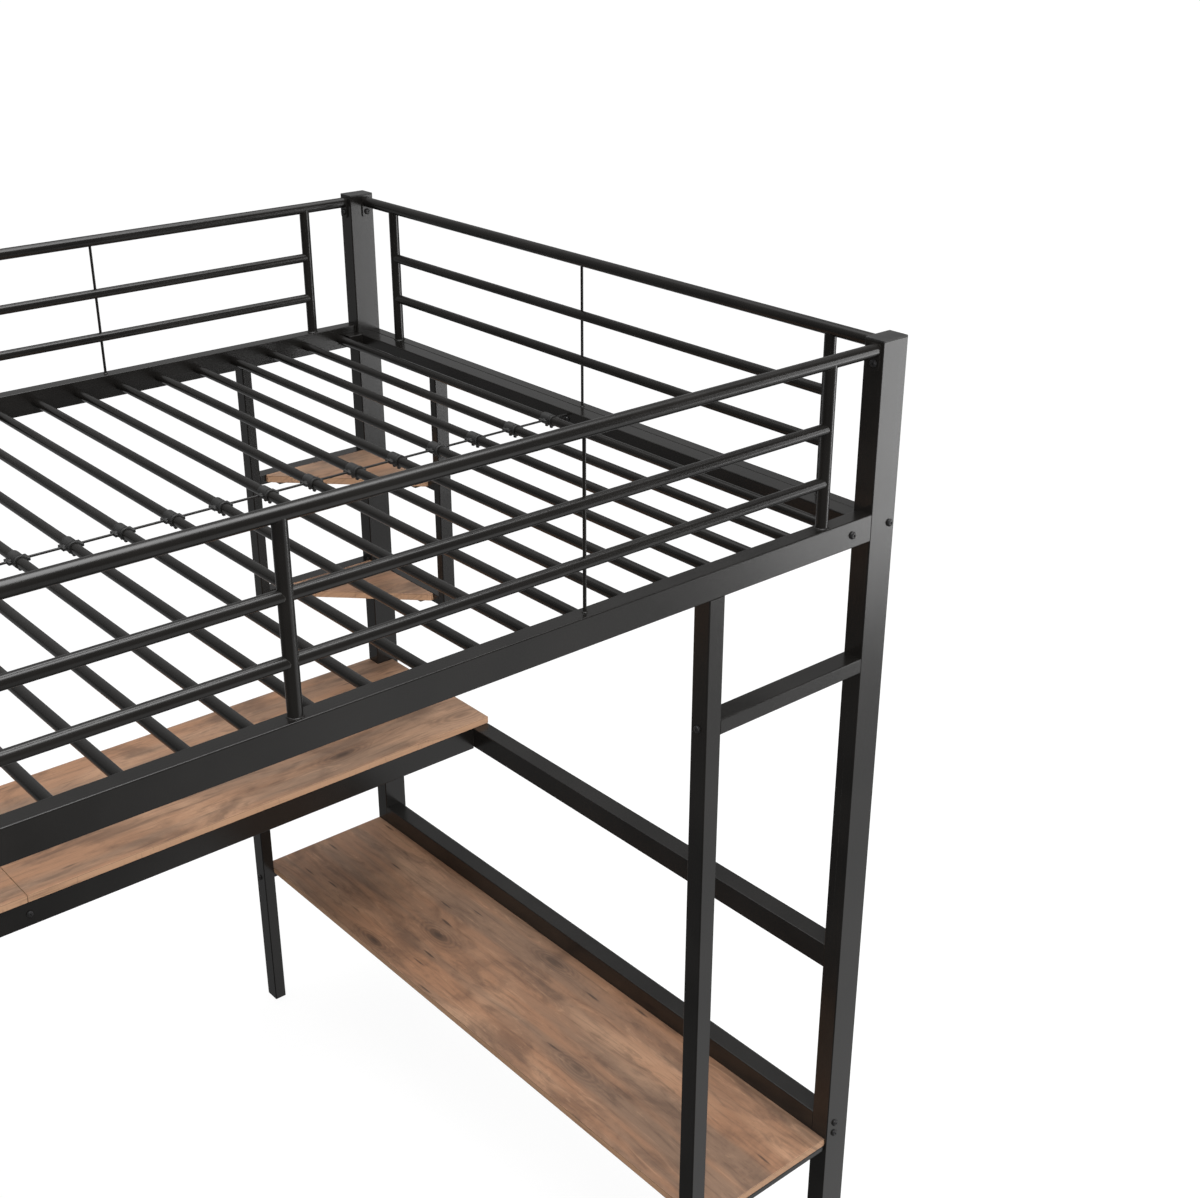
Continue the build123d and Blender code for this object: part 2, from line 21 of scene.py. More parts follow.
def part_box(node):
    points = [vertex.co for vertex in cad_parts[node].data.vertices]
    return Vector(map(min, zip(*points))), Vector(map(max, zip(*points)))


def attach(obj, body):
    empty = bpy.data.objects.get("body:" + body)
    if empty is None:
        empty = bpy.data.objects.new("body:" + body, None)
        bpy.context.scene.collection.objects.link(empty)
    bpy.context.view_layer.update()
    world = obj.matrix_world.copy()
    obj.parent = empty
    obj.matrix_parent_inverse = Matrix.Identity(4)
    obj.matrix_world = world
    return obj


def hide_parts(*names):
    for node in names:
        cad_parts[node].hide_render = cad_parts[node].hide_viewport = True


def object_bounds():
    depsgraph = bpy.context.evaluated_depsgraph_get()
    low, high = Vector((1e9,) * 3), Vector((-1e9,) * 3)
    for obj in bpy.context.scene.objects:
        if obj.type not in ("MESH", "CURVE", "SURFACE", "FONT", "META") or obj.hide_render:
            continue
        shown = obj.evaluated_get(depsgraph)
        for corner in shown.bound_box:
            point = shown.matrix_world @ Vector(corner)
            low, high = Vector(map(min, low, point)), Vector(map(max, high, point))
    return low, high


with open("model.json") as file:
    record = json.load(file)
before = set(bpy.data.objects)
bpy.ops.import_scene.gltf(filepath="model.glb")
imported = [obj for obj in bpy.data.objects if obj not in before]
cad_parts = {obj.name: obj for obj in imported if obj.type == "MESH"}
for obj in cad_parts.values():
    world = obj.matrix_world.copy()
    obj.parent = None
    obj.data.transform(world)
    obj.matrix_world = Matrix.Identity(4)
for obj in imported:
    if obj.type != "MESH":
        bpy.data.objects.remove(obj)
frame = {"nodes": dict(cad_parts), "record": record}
cad_bounds = [[float(v) for v in corner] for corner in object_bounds()]
nodes = frame["nodes"]
low, high = (Vector(corner) for corner in cad_bounds)
print("nodes:", len(nodes), "size in metres:", [round(v, 3) for v in high - low])

# %% [markdown]
# ## The camera
#
# The view is from above the ladder corner, looking down over the mattress deck to the back
# right post. A lens of about 50 mm on a full-frame sensor keeps the posts nearly parallel, as
# a product picture does. The turn is measured from +Y towards +X, and the tilt is downwards.

# %% Place the camera
CAMERA_AT = (-0.8441, -2.2283, 2.4823)
CAMERA_TILT, CAMERA_TURN = 24.346, 40.470
CAMERA_LENS = 50.23
CAMERA_SHIFT = (0.0021, -0.0037)

camera_data = bpy.data.cameras.new("camera")
camera_data.lens = CAMERA_LENS
camera_data.sensor_width = 36
camera_data.shift_x, camera_data.shift_y = CAMERA_SHIFT
camera = bpy.data.objects.new("camera", camera_data)
camera.location = CAMERA_AT
camera.rotation_euler = (math.radians(90 - CAMERA_TILT), 0, math.radians(-CAMERA_TURN))
bpy.context.scene.collection.objects.link(camera)
bpy.context.scene.camera = camera
print("camera stands", round(Vector(CAMERA_AT).length, 2), "m from the bed's origin")

# %% [markdown]
# ## Writing materials as sums
#
# A material is a graph of nodes, and drawing it by hand hides the idea behind it. Here a small
# class wraps one socket, so that `streaks * 0.4 + 0.6` adds the Math nodes it needs. Everything
# else, such as a noise or a ramp, comes from one method that takes the node's type, its
# settings and its inputs.

# %% A socket that does arithmetic
class Signal:
    """One output in a node tree. Arithmetic on it adds Math nodes."""

    def __init__(self, paint, socket):
        self.paint, self.socket = paint, socket

    def math(self, operation, other=0.0, clamp=False, first=None):
        settings = {"operation": operation, "use_clamp": clamp}
        inputs = {0: self if first is None else first, 1: other}
        return self.paint.node("ShaderNodeMath", settings, inputs)

    def __add__(self, other):
        return self.math("ADD", other)

    def __mul__(self, other):
        return self.math("MULTIPLY", other)

    def __sub__(self, other):
        return self.math("SUBTRACT", other)

    def __rsub__(self, other):
        return self.math("SUBTRACT", self, first=other)

    __radd__, __rmul__ = __add__, __mul__

    def ramp(self, start, end):
        """0 before start, 1 after end and smooth between them. Start may be the larger one."""
        if start > end:
            return 1 - self.ramp(end, start)
        inputs = {"Value": self, "From Min": start, "From Max": end}
        return self.paint.node("ShaderNodeMapRange", {"interpolation_type": "SMOOTHSTEP"}, inputs)


# %% A node tree that is written line by line
class Paint:
    """A node tree with one method that adds a node, and short forms of the common ones."""

    def __init__(self, tree):
        self.tree = tree
        tree.nodes.clear()

    def node(self, kind, settings=None, inputs=None, output=0):
        made = self.tree.nodes.new(kind)
        for name, value in (settings or {}).items():
            setattr(made, name, value)
        for name, value in (inputs or {}).items():
            if isinstance(value, Signal):
                self.tree.links.new(value.socket, made.inputs[name])
            else:
                made.inputs[name].default_value = value
        return Signal(self, made.outputs[output])

    def place(self, turn=0.0, shift=(0, 0, 0)):
        """Object coordinates, turned about Z and then shifted."""
        point = self.node("ShaderNodeTexCoord", output="Object")
        inputs = {"Vector": point, "Rotation": (0, 0, turn), "Location": shift}
        return self.node("ShaderNodeMapping", {"vector_type": "POINT"}, inputs)

    def parts(self, vector):
        """The X, Y and Z of a vector."""
        made = self.node("ShaderNodeSeparateXYZ", None, {0: vector}).socket.node
        return [Signal(self, socket) for socket in made.outputs]

    def point(self, x, y, z):
        return self.node("ShaderNodeCombineXYZ", None, {0: x, 1: y, 2: z})

    def noise(self, vector, scale, detail=2.0, roughness=0.5, distortion=0.0):
        inputs = {"Vector": vector, "Scale": scale, "Detail": detail}
        inputs |= {"Roughness": roughness, "Distortion": distortion}
        return self.node("ShaderNodeTexNoise", None, inputs)

    def cells(self, vector, scale, output="Distance"):
        inputs = {"Vector": vector, "Scale": scale}
        return self.node("ShaderNodeTexVoronoi", {"feature": "F1"}, inputs, output)

    def mix(self, amount, first, second, blend="MIX"):
        """Two colours mixed. A colour is a signal or an (r, g, b, 1) tuple."""
        settings = {"data_type": "RGBA", "blend_type": blend}
        return self.node("ShaderNodeMix", settings, {0: amount, 6: first, 7: second}, output=2)

    def bump(self, height, distance, strength=1.0):
        inputs = {"Height": height, "Distance": distance, "Strength": strength}
        return self.node("ShaderNodeBump", None, inputs)


def finish(name, build):
    """A material named for its finish. build(paint) returns the Principled shader's inputs."""
    material = bpy.data.materials.new(name)
    material.use_nodes = True
    paint = Paint(material.node_tree)
    shader = paint.node("ShaderNodeBsdfPrincipled", None, build(paint))
    end = material.node_tree.nodes.new("ShaderNodeOutputMaterial")
    material.node_tree.links.new(shader.socket, end.inputs["Surface"])
    print("finish", name, "has", len(material.node_tree.nodes), "nodes")
    return material


# %% [markdown]
# ## Black powder coat
#
# Powder is sprayed dry and baked, so the coat melts into a skin with a faint orange peel about
# a millimetre across. It is satin: soft highlights, and a black that is slightly warm. A coat
# is thinnest on sharp edges, and there handling rubs it smooth and a shade lighter. The Bevel
# node gives a rounded normal near an edge, and where it differs from the true normal there is
# an edge to wear.

# %% Powder coat for the tubes
PEEL_SCALE = 620
SPECK_SCALE = 2600
COAT_DEEP = (0.0065, 0.0060, 0.0055, 1)
COAT_LIGHT = (0.0100, 0.0092, 0.0084, 1)
COAT_WORN = (0.038, 0.035, 0.032, 1)


def edge_wear(paint, radius):
    """1 on edges, 0 on faces, broken up by a noise."""
    rounded = paint.node("ShaderNodeBevel", {"samples": 4}, {"Radius": radius})
    true = paint.node("ShaderNodeNewGeometry", output="True Normal")
    settings = {"operation": "DOT_PRODUCT"}
    agree = paint.node("ShaderNodeVectorMath", settings, {0: rounded, 1: true}, output="Value")
    patches = paint.noise(paint.place(), 35, detail=3).ramp(0.38, 0.62)
    return (1 - agree).ramp(0.02, 0.16) * (patches * 0.75 + 0.25)


def powder_coat(paint):
    point = paint.place()
    peel = paint.noise(point, PEEL_SCALE, detail=1.5)
    specks = paint.noise(point, SPECK_SCALE, detail=1)
    clouds = paint.noise(point, 7, detail=4)
    worn = edge_wear(paint, 0.0016)
    base = paint.mix(clouds.ramp(0.3, 0.7), COAT_DEEP, COAT_LIGHT)
    base = paint.mix(worn * 0.55, base, COAT_WORN)
    return {
        "Base Color": base,
        "Roughness": clouds * 0.08 + specks * 0.05 + 0.17 - worn * 0.04,
        "Normal": paint.bump(peel + specks * 0.3, 0.00007, 0.55),
        "Specular IOR Level": 0.5,
        "IOR": 1.5,
    }


coat = finish("black powder coat", powder_coat)

# %% [markdown]
# ## Moulded black plastic
#
# Caps, feet and the clips on the slats are injection moulded. The tool's spark-eroded surface
# leaves a fine, even grain, rougher than the powder coat. The black is neutral.

# %% Plastic for caps, feet and clips
PLASTIC_DEEP = (0.014, 0.0138, 0.0135, 1)
PLASTIC_LIGHT = (0.020, 0.0198, 0.0195, 1)
PLASTIC_SCUFFED = (0.06, 0.06, 0.06, 1)


def moulded_plastic(paint):
    point = paint.place()
    grain = paint.noise(point, 1900, detail=2)
    flow = paint.noise(point, 60, detail=3)
    scuffs = edge_wear(paint, 0.0009)
    base = paint.mix(flow.ramp(0.35, 0.65), PLASTIC_DEEP, PLASTIC_LIGHT)
    return {
        "Base Color": paint.mix(scuffs * 0.5, base, PLASTIC_SCUFFED),
        "Roughness": grain * 0.12 + flow * 0.06 + 0.42,
        "Normal": paint.bump(grain, 0.00005, 0.6),
    }


plastic = finish("moulded black plastic", moulded_plastic)

# %% [markdown]
# ## Black bolts and the link rod
#
# The bolts are steel with a black oxide, which is thin enough to leave the metal's sharper
# glint, and which a hexagon key rubs away around the socket. The link rods between the slats
# are drawn steel under the same thin black, with fine marks along the rod from the die.

# %% Oxide for the bolts
OXIDE_DEEP, OXIDE_LIGHT = (0.012, 0.012, 0.013, 1), (0.024, 0.023, 0.023, 1)
BARE_STEEL = (0.17, 0.165, 0.16, 1)
ROD_DARK, ROD_BARE = (0.016, 0.0155, 0.015, 1), (0.075, 0.072, 0.068, 1)


def black_oxide(paint):
    point = paint.place()
    mottle = paint.noise(point, 420, detail=3)
    rubbed = edge_wear(paint, 0.0006)
    base = paint.mix(mottle.ramp(0.3, 0.7), OXIDE_DEEP, OXIDE_LIGHT)
    return {
        "Base Color": paint.mix(rubbed * 0.8, base, BARE_STEEL),
        "Metallic": rubbed * 0.7 + 0.15,
        "Roughness": mottle * 0.16 + 0.26,
        "Normal": paint.bump(mottle, 0.00003, 0.5),
    }


def drawn_rod(paint):
    x, y, z = paint.parts(paint.place())
    marks = paint.noise(paint.point(x * 0.02, y, z), 3500, detail=2)
    patches = paint.noise(paint.place(), 90, detail=3)
    return {
        "Base Color": paint.mix(patches.ramp(0.5, 0.8) * 0.5, ROD_DARK, ROD_BARE),
        "Metallic": patches * 0.4 + 0.1,
        "Roughness": marks * 0.15 + 0.3,
        "Normal": paint.bump(marks, 0.00003, 0.5),
    }


oxide = finish("black oxide", black_oxide)
rod_steel = finish("drawn rod", drawn_rod)

# %% [markdown]
# ## Rustic laminate
#
# The boards are covered with printed paper that copies old brown oak: broad warm and grey bands
# along the board, cloudy stains, elongated knots, thin fibres and short dark checks. All of it
# is stretched along the grain, so the finish first turns its coordinates until the grain is X.
# A slow noise pushes the bands sideways so that they wander.
#
# A board's narrow edges carry a separate band of the same print, paler than the top. The side
# faces are found from the normal, and a thin dark line is left where the band meets the top.
#
# The layers go on from broad to fine: bands and glow, stains, knots with their rings, the wavy
# figure, streaks, and last the checks, fibres and short marks.

# %% Laminate for a board
KNOT_HEART = (0.022, 0.014, 0.010, 1)
CHECK_COLOR = (0.020, 0.013, 0.010, 1)
JOINT_COLOR = (0.035, 0.022, 0.016, 1)


def laminate(turn, shift, top, thickness, warm, gray, dark, pale_edge):
    """A laminate whose grain runs along Y when turn is a quarter turn, else along X."""

    def build(paint):
        point = paint.place(turn, shift)
        along, across, up = paint.parts(point)
        side = across + up
        wander = paint.noise(paint.point(along * 1.3, side * 4.0, 0.0), 1.0, detail=3)
        flow = side + wander * 0.07
        bands = paint.noise(paint.point(along * 1.1, flow * 15, 2.0), 1.0, 3, 0.55)
        streaks = paint.noise(paint.point(along * 6.5, flow * 120, 5.0), 1.0, 4, 0.6)
        fibres = paint.noise(paint.point(along * 45, flow * 950, 8.0), 1.0, 2)
        stains = paint.noise(paint.point(along * 5.2, side * 11, 11.0), 1.0, 5, 0.62, 0.6)
        glow = paint.noise(paint.point(along * 3.1, side * 8, 19.0), 1.0, 3, 0.5, 0.4)

        figure = paint.noise(paint.point(along * 8.0, flow * 42, 13.0), 1.0, 5, 0.68, 1.4)

        knot_place = paint.point(along * 3.4, side * 10.5 + wander * 0.8, 0.0)
        knot = paint.cells(knot_place, 1.0)
        chosen = paint.parts(paint.cells(knot_place, 1.0, "Color"))[0].ramp(0.52, 0.56)
        heart = knot.ramp(0.16, 0.02) * chosen
        halo = knot.ramp(0.42, 0.10) * chosen
        rings = (knot * 120 + streaks * 6).math("SINE") * 0.5 + 0.5

        check_place = paint.point(along * 11, flow * 85, 3.0)
        check_pick = paint.parts(paint.cells(check_place, 1.0, "Color"))[1].ramp(0.93, 0.95)
        checks = paint.cells(check_place, 1.0).ramp(0.30, 0.10) * check_pick
        marks = paint.noise(paint.point(along * 240, flow * 36, 7.0), 1.0, 1).ramp(0.60, 0.72)

        base = paint.mix(bands.ramp(0.36, 0.64), warm, gray)
        base = paint.mix(glow.ramp(0.50, 0.72) * 0.55, base, pale_edge)
        base = paint.mix(stains.ramp(0.47, 0.70) * 0.62, base, dark)
        base = paint.mix(halo * (rings * 0.35 + 0.25), base, dark)
        base = paint.mix(heart * 0.85, base, KNOT_HEART)
        base = paint.mix(figure.ramp(0.50, 0.70) * 0.45, base, dark)
        base = paint.mix(figure.ramp(0.44, 0.26) * 0.35, base, pale_edge)
        base = paint.mix(streaks.ramp(0.50, 0.76) * 0.55, base, dark)
        base = paint.mix(streaks.ramp(0.42, 0.22) * 0.30, base, pale_edge)
        base = paint.mix(checks * 0.8, base, CHECK_COLOR)
        base = paint.mix(fibres.ramp(0.52, 0.75) * 0.26, base, dark)
        base = paint.mix(marks * stains.ramp(0.40, 0.60) * 0.12, base, dark)

        normal = paint.node("ShaderNodeNewGeometry", output="Normal")
        upright = paint.parts(normal)[2].math("ABSOLUTE").ramp(0.75, 0.45)
        band = paint.mix(0.85, base, pale_edge)
        band = paint.mix(streaks.ramp(0.48, 0.80) * 0.55 + marks * 0.2, band, dark)
        joint = (up - (top - thickness * 0.10)).math("ABSOLUTE").ramp(0.0007, 0.0002)
        band = paint.mix(joint * 0.65, band, JOINT_COLOR)
        pressed = fibres * 0.5 + streaks * 0.5 - checks * 0.8 - heart * 0.5
        return {
            "Base Color": paint.mix(upright, base, band),
            "Roughness": 0.50 + fibres * 0.10 + stains * 0.08 - checks * 0.05,
            "Normal": paint.bump(pressed, 0.00012, 0.6),
            "Specular IOR Level": 0.42,
        }

    return build


# %% [markdown]
# The boards are cut from different sheets, so each kind has a tone of its own, made of a warm
# colour and a gray one. The low shelf is the darkest and the corner shelves are the palest. The
# shift moves a board to another part of the endless pattern, so that no two kinds look the same.

# %% One laminate for each kind of board
BOARD_DARK = (0.070, 0.040, 0.026, 1)
BOARD_PALE = (0.450, 0.270, 0.165, 1)
DESK_TONE = ((0.290, 0.155, 0.087, 1), (0.205, 0.130, 0.086, 1))
SHELF_TONE = ((0.252, 0.130, 0.072, 1), (0.180, 0.110, 0.071, 1))
CORNER_TONE = ((0.335, 0.186, 0.112, 1), (0.265, 0.170, 0.112, 1))
ALONG_X, ALONG_Y = 0, math.pi / 2


def board_finish(name, node, turn, shift, tone):
    bottom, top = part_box(node)
    thickness = top.z - bottom.z
    build = laminate(turn, shift, top.z, thickness, *tone, BOARD_DARK, BOARD_PALE)
    return finish(f"rustic laminate, {name}", build)


desk_wood = board_finish("desk", "desk_board_right", ALONG_X, (3.1, 0.4, 0), DESK_TONE)
shelf_wood = board_finish("low shelf", "low_shelf_board", ALONG_Y, (1.7, 5.2, 0), SHELF_TONE)
upper_wood = board_finish(
    "upper corner shelf", "corner_shelf_upper", ALONG_X, (7.3, 1.2, 0), CORNER_TONE)
lower_wood = board_finish(
    "lower corner shelf", "corner_shelf_lower", ALONG_X, (9.9, 2.6, 0), CORNER_TONE)

# %% [markdown]
# ## Dressing the carried-over parts
#
# A part whose shape is already right keeps its own mesh and only takes a finish. The record
# says which slot each part belongs to, so one table from slot to finish dresses nearly all of
# them. The two corner shelves share a slot, but each has a finish of its own.

# %% Give each part its finish
slot_finish = {
    "black_powder_coat": coat,
    "black_plastic": plastic,
    "black_hardware": oxide,
    "link_rod": rod_steel,
    "desk_laminate": desk_wood,
    "shelf_laminate": shelf_wood,
}
own_finish = {"corner_shelf_upper": upper_wood, "corner_shelf_lower": lower_wood}


def dress(piece, material):
    piece.data.materials.clear()
    piece.data.materials.append(material)


for entry in frame["record"]["subparts"]:
    name = entry["node"]
    dress(nodes[name], own_finish.get(name) or slot_finish[entry["material_slot"]])
print("dressed", len(nodes), "parts")

# %% [markdown]
# ## Small moulded pieces
#
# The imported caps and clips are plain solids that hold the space. Their moulded shapes are made
# here with the ordinary modelling tools. Each piece starts as a primitive at its own size, and
# its edges are picked by where they lie. A shape that repeats is modelled once at the origin,
# and then every place gets a copy with a mesh of its own, so that its object can stay unmoved.

# %% Tools for picking, placing and copying
def begin(name, add, **settings):
    """A primitive as a named object, with its size and turn settled in the mesh."""
    bpy.ops.object.select_all(action="DESELECT")
    add(**settings)
    piece = bpy.context.object
    piece.name = name
    bpy.ops.object.transform_apply(location=True, rotation=True, scale=True)
    return piece


def slab(name, size, at=(0, 0, 0)):
    """A cuboid, open in edit mode."""
    piece = begin(name, bpy.ops.mesh.primitive_cube_add, size=1, scale=size, location=at)
    bpy.ops.object.mode_set(mode="EDIT")
    return piece


def pick(piece, kind, test):
    """In edit mode, select only the faces or edges that pass a test."""
    bpy.ops.mesh.select_mode(type=kind)
    bpy.ops.mesh.select_all(action="DESELECT")
    net = bmesh.from_edit_mesh(piece.data)
    for item in net.faces if kind == "FACE" else net.edges:
        if test(item):
            item.select_set(True)
    bmesh.update_edit_mesh(piece.data)


def soften(piece, offset, segments, test):
    """Bevel the edges that pass a test on their direction and middle."""
    def chosen(edge):
        first, second = (corner.co for corner in edge.verts)
        return test((second - first).normalized(), (first + second) / 2)

    pick(piece, "EDGE", chosen)
    bpy.ops.mesh.bevel(offset=offset, segments=segments, affect="EDGES")


def close_piece():
    """Turn all faces outwards and leave edit mode."""
    bpy.ops.mesh.select_all(action="SELECT")
    bpy.ops.mesh.normals_make_consistent(inside=False)
    bpy.ops.object.mode_set(mode="OBJECT")


def joined(pieces):
    """Several objects as one mesh, named for the first."""
    bpy.ops.object.select_all(action="DESELECT")
    for piece in pieces:
        piece.select_set(True)
    bpy.context.view_layer.objects.active = pieces[0]
    bpy.ops.object.join()
    return pieces[0]


def spread(model, stem, moves, material, node=None):
    """A copy of the model for every move, each with its own mesh. The model is then removed."""
    for index, move in enumerate(moves, 1):
        twin = model.copy()
        twin.data = model.data.copy()
        twin.name = f"{stem}_{index:02d}"
        twin.data.transform(move)
        bpy.context.scene.collection.objects.link(twin)
        dress(twin, material)
        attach(twin, "root")
        if node:
            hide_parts(node)
    print(stem, len(moves), "copies of", len(model.data.polygons), "faces")
    bpy.data.objects.remove(model)


# %% [markdown]
# ## Caps in the tube ends
#
# A cap is a thin lid with a plug below it. The lid covers the tube's wall, and a fine shadow
# gap is left where the two meet. We bevel the four upright edges to the tube's own corner, ease
# the rim, and then inset and extrude the face that looks into the tube. The feet are the same
# piece upside down, with a shallow hollow underneath so that they stand on their rim.

# %% Model the caps and the feet
TUBE_WALL, TUBE_CORNER = 0.0012, 0.0018
LID, SEAM, RIM, PLUG_REACH = 0.003, 0.0004, 0.0007, 0.012
FOOT_RIM, FOOT_HOLLOW = 0.003, 0.0008
FLAT = 0.99  # a face whose normal's Z is above this is the flat one, not its eased rim

Span = namedtuple("Span", "bottom top middle size")


def tube_cap(name, width, depth, hollow):
    """A cap whose lid lies between the seam and the lid's thickness, plug downwards."""
    lid = slab(name, (width, depth, LID - SEAM), (0, 0, (LID + SEAM) / 2))
    soften(lid, TUBE_CORNER, 3, lambda way, middle: abs(way.z) > 0.9)
    soften(lid, RIM, 2, lambda way, middle: middle.z > LID - RIM / 2)
    pick(lid, "FACE", lambda face: face.normal.z < -0.9)
    bpy.ops.mesh.inset(thickness=TUBE_WALL + SEAM)
    bpy.ops.mesh.extrude_region_move(TRANSFORM_OT_translate={"value": (0, 0, -PLUG_REACH)})
    if hollow:
        pick(lid, "FACE", lambda face: face.normal.z > FLAT)
        bpy.ops.mesh.inset(thickness=FOOT_RIM)
        bpy.ops.transform.translate(value=(0, 0, -FOOT_HOLLOW))
    close_piece()
    return lid


def span_of(node):
    bottom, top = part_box(node)
    return Span(bottom, top, (bottom + top) / 2, top - bottom)


def upright(x, y, z):
    return Matrix.Translation((x, y, z))


def turned_over(x, y, z):
    return Matrix.Translation((x, y, z)) @ Matrix.Rotation(math.pi, 4, "X")


posts = [span_of(f"post_{depth}_{side}")
         for depth in ("front", "back") for side in ("right", "left")]
cap = tube_cap("post_cap", posts[0].size.x, posts[0].size.y, False)
tops = [upright(post.middle.x, post.middle.y, post.top.z) for post in posts]
spread(cap, "post_cap", tops, plastic, "post_caps")

foot = tube_cap("post_foot", posts[0].size.x, posts[0].size.y, True)
ends = [turned_over(post.middle.x, post.middle.y, post.bottom.z) for post in posts]
spread(foot, "post_foot", ends, plastic, "foot_caps")


def close_lower_end(node, kind, hollow, replaced):
    """One cap, facing down, in the lower end of one tube."""
    tube = span_of(node)
    model = tube_cap(kind, tube.size.x, tube.size.y, hollow)
    move = turned_over(tube.middle.x, tube.middle.y, tube.bottom.z)
    spread(model, f"{node}_{kind}", [move], plastic, replaced)


for node in ("front_leg_right", "ladder_stile", "back_leg_right"):
    close_lower_end(node, "foot", True, "foot_caps")
for node in ("hanger_back", "hanger_end"):
    close_lower_end(node, "cap", False, "tube_plugs")

# %% [markdown]
# ## The plug in the guard's free end
#
# The front guard stops above the ladder, and its open tube takes a domed plug. A disc is inset
# twice, and each inner ring is pushed out less than the last, so the face swells like a lens.

# %% Model the domed plug
DOME_STEPS = ((0.0022, 0.0013), (0.0030, 0.0008), (0.0025, 0.0003))
PLUG_BASE = 0.0006

guard = span_of("guard_front_top_tube")
dome = begin("guard_plug", bpy.ops.mesh.primitive_cylinder_add, vertices=32,
             radius=guard.size.z / 2, depth=PLUG_BASE, location=(0, 0, PLUG_BASE / 2))
bpy.ops.object.mode_set(mode="EDIT")
pick(dome, "FACE", lambda face: face.normal.z > 0.9)
for ring, rise in DOME_STEPS:
    bpy.ops.mesh.inset(thickness=ring)
    bpy.ops.transform.translate(value=(0, 0, rise))
pick(dome, "FACE", lambda face: face.normal.z < -0.9)
bpy.ops.mesh.inset(thickness=TUBE_WALL + SEAM)
bpy.ops.mesh.extrude_region_move(TRANSFORM_OT_translate={"value": (0, 0, -PLUG_REACH)})
close_piece()
for face in dome.data.polygons:
    face.use_smooth = 0.3 < face.normal.z < 0.999
outwards = Matrix.Rotation(-math.pi / 2, 4, "Y")
place = upright(guard.bottom.x, guard.middle.y, guard.middle.z) @ outwards
spread(dome, "guard_plug", [place], plastic, "tube_plugs")

# %% [markdown]
# ## Clips on the slats
#
# At its middle each slat wears a plastic clip. It is a sleeve with a groove near its front end,
# and on both sides a short neck with a bar across it, which the link rod snaps into. Two small
# prongs hang below. There are twenty-four, so the model stays light. The sleeve is a cylinder
# whose ends are inset and then bridged, which opens the bore for the slat.

# %% Model a clip and put one on every slat
SLEEVE_LENGTH, SLEEVE_RIM = 0.028, 0.0023
GROOVE = (-0.0110, -0.0088)
GROOVE_DEPTH = 0.0007
NECK, BAR, PRONG = (0.006, 0.0065, 0.0065), (0.0046, 0.0185, 0.0052), (0.0042, 0.0052, 0.0050)
NECK_X, BAR_X, PRONG_Y = 0.0110, 0.0142, 0.0065
MOULD_EDGE = 0.0005
TOUCH = 1e-5
SLATS = 24

sleeve_radius = span_of("slat_clips").size.z / 2


def on_outside(face):
    return math.hypot(*face.calc_center_median().xz) > sleeve_radius * 0.9


def on_end_rim(way, middle):
    at_end = abs(abs(middle.y) - SLEEVE_LENGTH / 2) < TOUCH
    return at_end and math.hypot(middle.x, middle.z) > sleeve_radius * 0.95


sleeve = begin("clip", bpy.ops.mesh.primitive_cylinder_add, vertices=20, radius=sleeve_radius,
               depth=SLEEVE_LENGTH, rotation=(math.pi / 2, 0, 0))
bpy.ops.object.mode_set(mode="EDIT")
pick(sleeve, "FACE", lambda face: abs(face.normal.y) > 0.9)
bpy.ops.mesh.inset(thickness=SLEEVE_RIM, use_individual=True)
bpy.ops.mesh.bridge_edge_loops()
for y in GROOVE:
    pick(sleeve, "FACE", on_outside)
    bpy.ops.mesh.bisect(plane_co=(0, y, 0), plane_no=(0, 1, 0))
pick(sleeve, "FACE", lambda face: GROOVE[0] < face.calc_center_median().y < GROOVE[1])
bpy.ops.mesh.extrude_region_shrink_fatten(TRANSFORM_OT_shrink_fatten={"value": -GROOVE_DEPTH})
soften(sleeve, MOULD_EDGE, 1, on_end_rim)
close_piece()
bpy.ops.object.shade_smooth_by_angle(angle=math.radians(40))


def clip_block(size, at):
    """A small moulded block with all its edges eased."""
    piece = slab("clip_part", size, at)
    bpy.ops.mesh.select_all(action="SELECT")
    bpy.ops.mesh.bevel(offset=MOULD_EDGE, segments=1, affect="EDGES")
    close_piece()
    return piece


blocks = [clip_block(NECK, (side * NECK_X, 0, 0)) for side in (-1, 1)]
blocks += [clip_block(BAR, (side * BAR_X, 0, 0)) for side in (-1, 1)]
prong_z = -sleeve_radius - PRONG[2] * 0.3
blocks += [clip_block(PRONG, (0, y, prong_z)) for y in (-PRONG_Y, PRONG_Y)]
clip = joined([sleeve] + blocks)

slats = span_of("slats")
slat_d = slats.size.z
first_slat = slats.bottom.x + slat_d / 2
pitch = (slats.size.x - slat_d) / (SLATS - 1)
moves = [upright(first_slat + pitch * i, 0, slats.middle.z) for i in range(SLATS)]
spread(clip, "slat_clip", moves, plastic, "slat_clips")

# %% [markdown]
# ## Weld beads
#
# Where a guard's upright stands on a rail, a small bead runs round its foot. A bead is a ring
# laid down in overlapping drops, so it has a fine ripple. A torus gives the ring. We cut away
# the half that would lie inside the rail, and swell every second drop along its normals. The
# powder coat covers the weld, so the bead has the tube's finish.

# %% Model the beads round the guards' feet
BEAD, RIPPLE, DROPS = 0.0016, 0.00022, 28
FOOT_REACH = 0.03  # points nearer than this belong to the same foot
THICK_FOOT = 0.005  # a foot with a larger radius is an upright's, a smaller one a rod's


